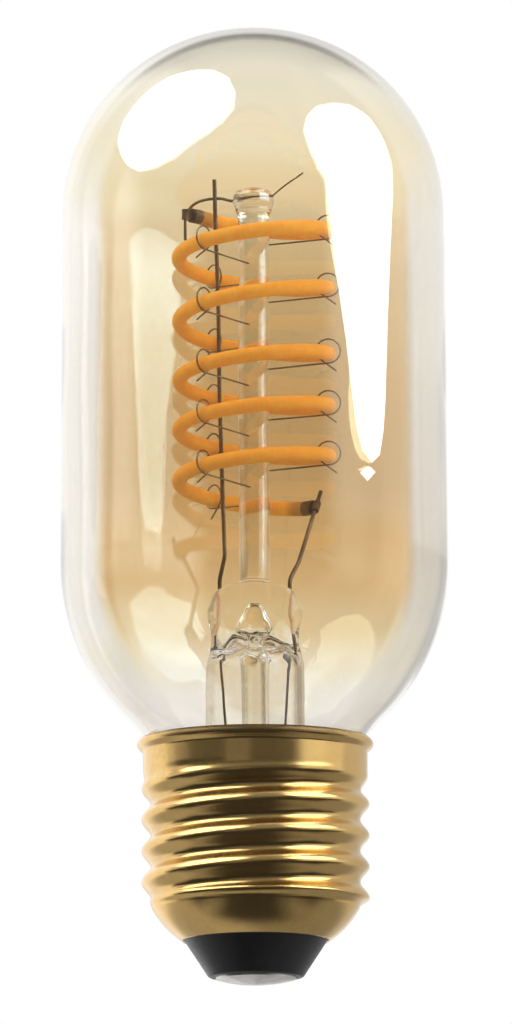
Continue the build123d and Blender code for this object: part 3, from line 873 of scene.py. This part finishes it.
def makeSupports(s, coil):
    values = {
        "Wire Radius": s["wire"] * mm,
        "Loop Radius": s["loop"] * mm,
        "Drop": s["below"] * mm,
        "Loop Turn": math.radians(s["loopTurn"]),
        "Loop Pitch": s["loopPitch"] * mm,
        "Tail": s["tail"] * mm,
        "Tilt": math.radians(s["tilt"]),
        "Root": s["root"] * mm,
        "Coil Radius": coil["radius"] * mm,
        "Start Angle": math.radians(coil["start"]),
        "Second Column": math.radians(s["columns"][1]),
        "Third Column": math.radians(s["columns"][2]),
        "Per Column": s["perColumn"],
        "Jitter": math.radians(s["jitter"]),
        "Seed": s["seed"],
        "Points": s["points"],
        "Sides": s["sides"],
        "Material": finishMaterial("nickelWire", nickelSet)[0],
    }
    group = newGeometryTree("pigtailSupports", values)
    tree, given, _ = group
    line, along = evenLine(tree, given["Points"])
    bendFrom, bendTo = s["bend"]
    loop, drop, middle = given["Loop Radius"], given["Drop"], given["Coil Radius"]
    turn = given["Loop Turn"] * evenRamp(along, bendFrom, bendTo)
    rise = given["Loop Pitch"] / fullTurn
    leanCos = calc("COSINE", given["Tilt"])
    leanSin = calc("SINE", given["Tilt"])
    reach = (drop * leanSin + (middle - given["Root"])) / leanCos
    before = evenRamp(along, bendFrom, 0.0) * reach
    beyond = evenRamp(along, bendTo, 1.0) * given["Tail"]
    x = loop * calc("SINE", turn) - before + beyond * calc("COSINE", given["Loop Turn"])
    y = (before - beyond) * (rise / loop) - rise * turn
    z = loop - drop - loop * calc("COSINE", turn) + beyond * calc("SINE", given["Loop Turn"])
    place = vector(x * leanCos - z * leanSin + middle, y, x * leanSin + z * leanCos)
    pigtail = sweep(tree, moveTo(tree, line, place), given["Sides"], given["Wire Radius"])

    index = outOf(tree, "GeometryNodeInputIndex")
    column = calc("FLOOR", index / given["Per Column"])
    number = index - column * given["Per Column"]
    azimuth = given["Second Column"] * calc("MINIMUM", column, 1.0)
    further = given["Third Column"] - given["Second Column"]
    azimuth = azimuth + further * calc("MAXIMUM", column - 1.0, 0.0)
    height = coilHeight((given["Start Angle"] - azimuth) / fullTurn + number)
    count = s["perColumn"] * len(s["columns"])
    spots = outOf(tree, "GeometryNodePoints", Count=count, Position=vector(0.0, 0.0, height))
    roll = tree.nodes.new("FunctionNodeRandomValue")
    fill(roll.inputs[2:4], (given["Jitter"] * -1.0, given["Jitter"]))  # its sockets for plain numbers
    setInputs(roll, Seed=given["Seed"])
    turned = vector(Field(roll.outputs[1]), 0.0, azimuth)
    turned = outOf(tree, "FunctionNodeEulerToRotation", Euler=turned)
    placed = outOf(tree, "GeometryNodeInstanceOnPoints", Points=spots, Instance=pigtail, Rotation=turned)
    return growPiece(group, values, placed)


supportNodes = []
for column in ("right", "front", "back"):
    supportNodes += [f"support_{column}_{n + 1}" for n in range(supportSet["perColumn"])]
finishPiece(makeSupports(supportSet, coilSet), "nickel_wire", *supportNodes)


# rolled brass shell: level sections are circles set off the axis, turning once a pitch
shellSet = {
    "bottom": 5.05, "top": 28.42,
    "skirtFoot": 8.5, "skirt": 11.99, "skirtHeight": 3.8, "bow": 0.3,
    "threadSpan": (8.85, 24.85),
    "mean": 12.63, "depth": 1.04, "pitch": 3.629, "crestAt": 10.0,
    "leadIn": 1.1, "runOut": 2.9,
    "band": 12.97,
    "lipAt": 27.02,
    "lip": (2.372, -2.032),  # bulge: first and second power
    "sheet": 0.3,
    "weld": 0.002,
    "round": 168, "rows": 176,
}


def addSheet(holder):  # brass thickness, inwards
    wall = holder.modifiers.new("sheet", "SOLIDIFY")
    wall.thickness = shellSet["sheet"] * mm
    wall.offset = -1.0


brassSet = {
    "main": (0.74, 0.495, 0.19), "worn": (0.61, 0.4, 0.145), "patch": 140.0, "grain": 1500.0,
    "rough": (0.16, 0.23), "metal": 1.0, "relief": 0.05,
    "rootDark": (0.33, 0.23, 0.10, 1.0),  # a little darker in the thread roots
    "rootSpan": (-0.35, -0.95),
    "rootShare": 0.2,
    "lipShade": (0.11, 0.075, 0.035, 1.0),  # painted shade along the top of the lip, strongest in the middle front and back
    "lipShadeSpan": (0.42, 0.6),
    "lipShadeWide": (11.8, 8.5),
    "lipShadeShare": 0.8,
    "lipShadeRough": 0.5,
}


def makeBrass(s):
    material, shader, drift = finishMaterial("rolledBrass", s)
    tree = shader.id_data
    # darker towards the thread roots
    groove = ease(attribute(tree, "crest"), *s["rootSpan"])
    shade = blendColour(groove * s["rootShare"], drift["Color"], s["rootDark"])
    # painted shade: the lip's top is darkened, fully within the middle front and back
    near = easeOver(calc("ABSOLUTE", axes(objectPlace(tree))[0]), s["lipShadeWide"])
    edge = ease(attribute(tree, "lip"), *s["lipShadeSpan"]) * near
    shade = blendColour(edge * s["lipShadeShare"], shade, s["lipShade"])
    setInputs(shader, Base_Color=shade, Roughness=blendValue(edge, drift["Roughness"], s["lipShadeRough"]))
    return material


def makeShell(s):
    values = {
        "Depth": s["depth"] * mm,
        "Pitch": s["pitch"] * mm,
        "Mean Radius": s["mean"] * mm,
        "Band Radius": s["band"] * mm,
        "Skirt Radius": s["skirt"] * mm,
        "Round": s["round"] + 1,
        "Rows": s["rows"],
        "Material": makeBrass(brassSet),
    }
    group = newGeometryTree("rolledShell", values)
    tree, given, _ = group
    grid = outOf(
        tree, "GeometryNodeMeshGrid", "Mesh",
        Size_X=1.0, Size_Y=1.0, Vertices_X=given["Round"], Vertices_Y=given["Rows"],
    )
    across, upward, _ = axes(outOf(tree, "GeometryNodeInputPosition"))
    angle = (across + 0.5) * fullTurn
    level = (upward + 0.5) * ((s["top"] - s["bottom"]) * mm) + s["bottom"] * mm
    low, high = s["threadSpan"]
    leadIn = easeOver(level, (low, low + s["leadIn"]))
    runOut = easeOver(level, (high, high - s["runOut"]))
    mean = given["Mean Radius"]
    radius = (given["Skirt Radius"] - mean) * (1.0 - leadIn) + mean
    radius = (given["Band Radius"] - mean) * (1.0 - runOut) + radius
    skirt = evenRamp(level, s["bottom"] * mm, low * mm)
    narrow = s["skirt"] - s["skirtFoot"]
    slant = math.hypot(narrow, s["skirtHeight"])
    bowed = skirt * (1.0 - skirt) * (4 * s["bow"] * mm)
    radius = radius - (1.0 - skirt) * (narrow * mm) + bowed * (s["skirtHeight"] / slant)
    lip = evenRamp(level, s["lipAt"] * mm, s["top"] * mm)
    first, second = s["lip"]
    radius = radius + (lip * (second * mm) + first * mm) * lip
    strength = leadIn * runOut
    offAxis = given["Depth"] * 0.5 * strength
    swing = (level - s["crestAt"] * mm) / given["Pitch"] * fullTurn
    x = offAxis * calc("COSINE", swing) + radius * calc("COSINE", angle)
    y = offAxis * calc("SINE", swing) + radius * calc("SINE", angle)
    z = level - bowed * (narrow / slant)
    marked = storeValue(tree, grid, "crest", calc("COSINE", angle - swing) * strength)
    marked = storeValue(tree, marked, "lip", lip)
    rolled = moveTo(tree, marked, vector(x, y, z))
    closed = outOf(tree, "GeometryNodeMergeByDistance", Geometry=rolled, Distance=s["weld"] * mm)
    return growPiece(group, values, closed, addSheet)


finishPiece(makeShell(shellSet), "brass_shell", "screw_shell")


# solids that stay, each with its own finish
finishColumns = ("nodes", "main", "worn", "patch", "grain", "rough", "metal", "relief")
stayingSet = {
    "blackInsulator": (("base_insulator",),
        (0.005, 0.005, 0.005), (0.01, 0.0095, 0.0098), 120.0, 1800.0, (0.34, 0.5), 0.0, 0.2),
    "contactMetal": (("centre_contact",),
        (0.84, 0.83, 0.79), (0.62, 0.61, 0.57), 300.0, 1600.0, (0.3, 0.48), 1.0, 0.3),
    "darkWire": (
        ("inner_lead_long", "inner_lead_short", "outer_lead_left",
         "outer_lead_right", "contact_wire", "side_wire"),
        (0.23, 0.16, 0.1), (0.13, 0.085, 0.05), 240.0, 2200.0, (0.35, 0.55), 0.7, 0.3),
    "sealingWire": (("press_wire_left", "press_wire_right"),
        (0.84, 0.66, 0.54), (0.66, 0.38, 0.28), 400.0, 2400.0, (0.35, 0.55), 0.3, 0.2),
    "tipMetal": (("filament_tip_upper", "filament_tip_lower"),
        (0.22, 0.16, 0.1), (0.12, 0.08, 0.05), 500.0, 2600.0, (0.4, 0.6), 0.6, 0.3),
    "ringCement": (("base_cement",),
        (0.62, 0.58, 0.5), (0.48, 0.44, 0.37), 350.0, 1500.0, (0.75, 0.92), 0.0, 0.8),
    "boardLaminate": (("driver_board",),
        (0.03, 0.16, 0.06), (0.05, 0.22, 0.09), 200.0, 2600.0, (0.35, 0.5), 0.0, 0.2),
    "chipEpoxy": (("bridge_rectifier", "driver_chip", "chip_resistors"),
        (0.02, 0.02, 0.021), (0.04, 0.04, 0.04), 500.0, 3000.0, (0.5, 0.65), 0.0, 0.3),
    "capacitorSleeve": (("smoothing_capacitor",),
        (0.03, 0.05, 0.12), (0.05, 0.08, 0.17), 250.0, 1800.0, (0.3, 0.42), 0.0, 0.15),
    "resistorBody": (("fuse_resistor",),
        (0.12, 0.25, 0.2), (0.2, 0.33, 0.27), 400.0, 2000.0, (0.45, 0.62), 0.0, 0.3),
    "solderTin": (("solder_joints",),
        (0.62, 0.62, 0.6), (0.45, 0.45, 0.44), 900.0, 3000.0, (0.22, 0.4), 1.0, 0.3),
}

for label, row in stayingSet.items():
    finish = dict(zip(finishColumns, row))
    coat = finishMaterial(label, finish)[0]
    for nodeName in finish["nodes"]:
        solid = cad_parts[nodeName]
        if not solid.material_slots:
            solid.data.materials.append(coat)
        for slotItem in solid.material_slots:
            slotItem.material = coat
print("finishes:", len(stayingSet), "on solids that stay")


# studio: soft boxes with their lamps, pale floor
rightPlane = {"centre": (324, -118, 241), "across": (0.342, 0.940, 0.0), "up": (-0.397, 0.145, 0.906)}
studioSet = {
    "boxGlow": 9.0,  # in glass
    "metalGlow": 3.4,  # in rolled brass
    "fainter": 0.85,  # loss when mirrored again inside
    "throughTone": (0.47, 0.725, 1.14, 1.0),  # seen through the glass a box burns out to pale
    "leftTone": (0.3, 0.37, 0.41, 1.0),
    "lampSize": 0.7,  # metres
    "lampAim": (0, 0, 80),
    "rightBox": {
        **rightPlane,
        "outline": (
            (-189, 156), (-130, 207), (-52, 229), (31, 217), (103, 198), (150, 150), (161, 80), (159, -1),
            (146, -79), (126, -90), (106, -103), (93, -114), (81, -120), (58, -125), (16, -127), (-28, -125),
            (-56, -121), (-78, -114), (-100, -106), (-122, -99), (-144, -92), (-162, -85), (-185, -76),
            (-209, -26), (-214, 65),
        ),
        "lamp": (596, -217, 376),
        "watts": 4.6,
    },
    "rightHem": {
        **rightPlane,
        "centre": (325, -119, 241),  # just behind the box
        "outline": (
            (-72, -112), (-66, -128), (-56, -136), (-40, -140), (40, -140), (52, -136), (66, -128),
            (80, -112),
        ),
    },
    "rightGlint": {
        **rightPlane,
        "outline": ((-4, -127.6), (36, -128.2), (-5, -130), (-43, -128.3)),
    },
    "leftBox": {
        "centre": (-487, -86, 575), "across": (0.174, -0.985, 0.0), "up": (0.696, 0.123, 0.707),
        "outline": (
            (-257, -134), (-311, -33), (-318, 152), (-286, 250), (-195, 351), (-90, 430), (59, 480),
            (263, 464), (431, 381), (490, 250), (486, 93), (428, -52), (360, -209), (216, -311), (77, -337),
            (-62, -292), (-157, -225),
        ),
        "lamp": (-487, -86, 575),
        "watts": 4.6,
    },
    "floorDrop": 500.0,
    "floorReach": 6.0,  # metres, from the middle to each edge
    "floorTones": ((0.86, 0.86, 0.855, 1.0), (0.9, 0.9, 0.895, 1.0)),
    "floorGrain": 60.0, "floorRough": 0.9, "floorGlow": 0.5,
}


def boxMaterial(name, s, tone, hem):  # seen in reflections only
    material, tree, shader = newMaterial(name)
    tree.nodes.remove(shader)
    path = lightPath(tree)
    mirrored = path["Glossy Depth"] > depthSet["mirrored"]
    through = path["Transmission Depth"] > depthSet["inside"]
    deep = path["Transmission Depth"] > depthSet["crossedMany"]
    again = calc("MAXIMUM", path["Glossy Depth"] > depthSet["mirroredTwice"], deep)
    faint = 1.0 - through * again * s["fainter"]
    through = through * (1.0 - deep)
    glow = faint * blendValue(path["Is Singular Ray"], s["metalGlow"], s["boxGlow"])
    cloth = outOf(tree, "ShaderNodeEmission", Color=blendColour(through, white, s[tone]), Strength=glow)
    shown = mirrored * through if hem else mirrored
    show(tree, blendShader(shown, outOf(tree, "ShaderNodeBsdfTransparent"), cloth))
    material.cycles.emission_sampling = "NONE"
    return material


def hideFrom(item, *rays):
    for ray in rays:
        setattr(item, "visible_" + ray, False)


def makeBox(name, s, cloth):
    centre, across, up = (Vector(s[key]) for key in ("centre", "across", "up"))
    corners = [(centre + across * u + up * v) * mm for u, v in s["outline"]]
    mesh = bpy.data.meshes.new(name)
    mesh.from_pydata([tuple(c) for c in corners], [], [tuple(range(len(corners)))])
    mesh.materials.append(cloth)
    box = addObject(name, mesh)
    hideFrom(box, "camera", "diffuse", "shadow")
    if "lamp" in s:
        makeLamp(name + "Lamp", Vector(s["lamp"]), s["watts"])


def makeLamp(name, stand, watts):
    lamp = bpy.data.lights.new(name, "AREA")
    lamp.shape = "DISK"
    lamp.size = studioSet["lampSize"]
    lamp.energy = watts
    light = addObject(name, lamp)
    light.location = stand * mm
    light.rotation_mode = "QUATERNION"
    light.rotation_quaternion = (Vector(studioSet["lampAim"]) - stand).to_track_quat("-Z", "Y")
    hideFrom(light, "camera", "glossy", "transmission")


def makeFloor(s):
    reach = s["floorReach"]
    drop = -s["floorDrop"] * mm
    corners = [(x * reach, y * reach, drop) for x, y in ((-1, -1), (1, -1), (1, 1), (-1, 1))]
    mesh = bpy.data.meshes.new("paleFloor")
    mesh.from_pydata(corners, [], [(0, 1, 2, 3)])
    material, tree, shader = newMaterial("paleFloor")
    paper = noise(objectPlace(tree), s["floorGrain"])
    setInputs(shader, Roughness=s["floorRough"], Base_Color=blendColour(paper, *s["floorTones"]))
    glow = lightPath(tree)["Is Camera Ray"] * s["floorGlow"]
    seen = blendShader(glow, Field(shader.outputs[0]), outOf(tree, "ShaderNodeEmission"))
    backside = outOf(tree, "ShaderNodeNewGeometry", "Backfacing")
    show(tree, blendShader(backside, seen, outOf(tree, "ShaderNodeBsdfTransparent")))
    mesh.materials.append(material)
    floor = addObject("paleFloor", mesh)
    hideFrom(floor, "glossy", "transmission")


# pale surround: levels first, then the spans of direction where one passes into the next
surroundSet = {
    "fill": 0.7,  # light from all round on matt surfaces
    "behind": 1.0,  # as bright as the picture's ground, also straight through the glass
    "beside": (1.02, 0.85),  # left and right
    "besideLow": (0.95, 0.56),
    "metalBeside": (1.32, 0.7),  # the same in rolled brass
    "above": 0.14,
    "tent": 0.95,  # white cloth in front
    "gap": 0.12,  # opening of the tent, where the camera looks in
    "roof": 0.3,
    "bench": (0.125, 0.05),  # in front below the tent: level, straight down
    "benchSides": (0.5, 0.32),
    "pane": 0.15,
    "rightCard": 0.95,
    "leftCard": 0.8,
    "veil": 2.3,  # right-hand cloth as the back wall mirrors it, burnt out to pale
    "veilTone": (0.9, 1.15, 1.6, 1.0),
    "beneath": 1.0,  # bench as the dome mirrors it
    "rightHand": (-0.3, 0.3),
    "besideRise": (0.14, 0.185),
    "behindFrom": (0.93, 0.975),
    "aboveFrom": (0.5, 0.72), "aboveWide": (0.5, 0.3),
    "sidesFrom": (-0.25, -0.5),
    "rightTent": (0.707, 0.707), "rightTentEdge": (-0.1, 0.16),  # x and y of the way across, edge
    "leftTent": (-0.259, 0.966), "leftTentEdge": (-0.17, 0.17),
    "tentFoot": (0.135, 0.175),
    "roofFrom": (0.25, 0.55),
    "benchFrom": (0.08, -0.08),
    "paneLeft": (-0.54, -0.48), "paneRight": (-0.05, -0.11), "paneFoot": (-0.1, 0.0),
    "rightCardFoot": (-0.3, -0.05),
    "leftCardBack": (-0.06, 0.1), "leftCardSide": (0.1, -0.1), "leftCardFoot": (-0.12, 0.06),
    "steepLeft": (-0.35, -0.68), "steepRight": (0.22, 0.62), "steepFrom": (-0.62, -0.84),
    "underBack": (-0.16, 0.15), "underFrom": (-0.3, -0.6),
    "frontFrom": (0.28, 0.16),
    "veilWay": (0.848, 0.53), "veilEdge": (-0.12, 0.2),
    "beneathFrom": (-0.15, -0.4),
}


def makeSurround(s):
    world = bpy.data.worlds.new("paleSurround")
    scene.world = world
    world.use_nodes = True
    tree = world.node_tree
    x, y, z = axes(outOf(tree, "ShaderNodeTexCoord", "Generated"))
    path = lightPath(tree)

    def mask(value, key):
        return ease(value, *s[key])

    def along(key):
        return x * s[key][0] + y * s[key][1]

    rightHand = mask(x, "rightHand")
    benchSide = blendValue(rightHand, *s["benchSides"])
    side = blendValue(rightHand, *s["beside"])
    side = blendValue(mask(z, "besideRise"), blendValue(rightHand, *s["besideLow"]), side)
    back = blendValue(path["Is Singular Ray"], blendValue(rightHand, *s["metalBeside"]), side)
    back = blendValue(mask(y, "behindFrom"), back, s["behind"])
    dark = mask(z, "aboveFrom") * mask(calc("ABSOLUTE", x), "aboveWide")
    back = blendValue(dark, back, s["above"])
    back = blendValue(mask(z, "sidesFrom"), back, benchSide)
    rightTent = mask(along("rightTent"), "rightTentEdge")
    leftTent = mask(along("leftTent"), "leftTentEdge")
    upper = blendValue(calc("MAXIMUM", leftTent, rightTent), s["gap"], s["tent"])
    upper = blendValue(mask(z, "roofFrom"), upper, s["roof"])
    lower = blendValue(mask(z, "benchFrom"), *s["bench"])
    pane = mask(x, "paneLeft") * mask(x, "paneRight") * mask(z, "paneFoot")
    lower = pane * s["pane"] + lower
    lower = blendValue(rightTent * mask(z, "rightCardFoot"), lower, s["rightCard"])
    card = mask(y, "leftCardBack") * mask(x, "leftCardSide") * mask(z, "leftCardFoot")
    lower = blendValue(card, lower, s["leftCard"])
    steep = calc("MAXIMUM", mask(x, "steepLeft"), mask(x, "steepRight")) * mask(z, "steepFrom")
    under = calc("MAXIMUM", mask(y, "underBack") * mask(z, "underFrom"), steep)
    lower = blendValue(under, lower, benchSide)
    inFront = mask(y, "frontFrom")
    level = blendValue(inFront, back, blendValue(mask(z, "tentFoot"), lower, upper))
    inside = path["Transmission Depth"] > depthSet["inside"]
    veil = mask(along("veilWay"), "veilEdge") * inFront * inside
    level = blendValue(veil, level, s["veil"])
    level = blendValue(inside * mask(z, "beneathFrom"), level, s["beneath"])
    straight = (path["Glossy Depth"] < depthSet["mirrored"]) * inFront
    level = blendValue(straight, level, s["behind"])
    level = blendValue(path["Is Diffuse Ray"], level, s["fill"])
    level = blendValue(path["Is Camera Ray"], level, 1.0)
    tone = blendColour(veil * (1.0 - straight), white, s["veilTone"])
    setInputs(tree.nodes["Background"], Strength=level, Color=tone)
    world.cycles.sampling_method = "NONE"


boxCloth = boxMaterial("boxCloth", studioSet, "throughTone", False)
leftCloth = boxMaterial("leftCloth", studioSet, "leftTone", False)
hemCloth = boxMaterial("hemCloth", studioSet, "throughTone", True)
makeBox("rightBox", studioSet["rightBox"], boxCloth)
makeBox("rightHem", studioSet["rightHem"], hemCloth)
makeBox("rightGlint", studioSet["rightGlint"], boxCloth)
makeBox("leftBox", studioSet["leftBox"], leftCloth)
makeFloor(studioSet)
makeSurround(surroundSet)
scene.cycles.max_bounces = 28
scene.cycles.transmission_bounces = 28
scene.cycles.glossy_bounces = 12
scene.cycles.transparent_max_bounces = 28
print("studio lit")
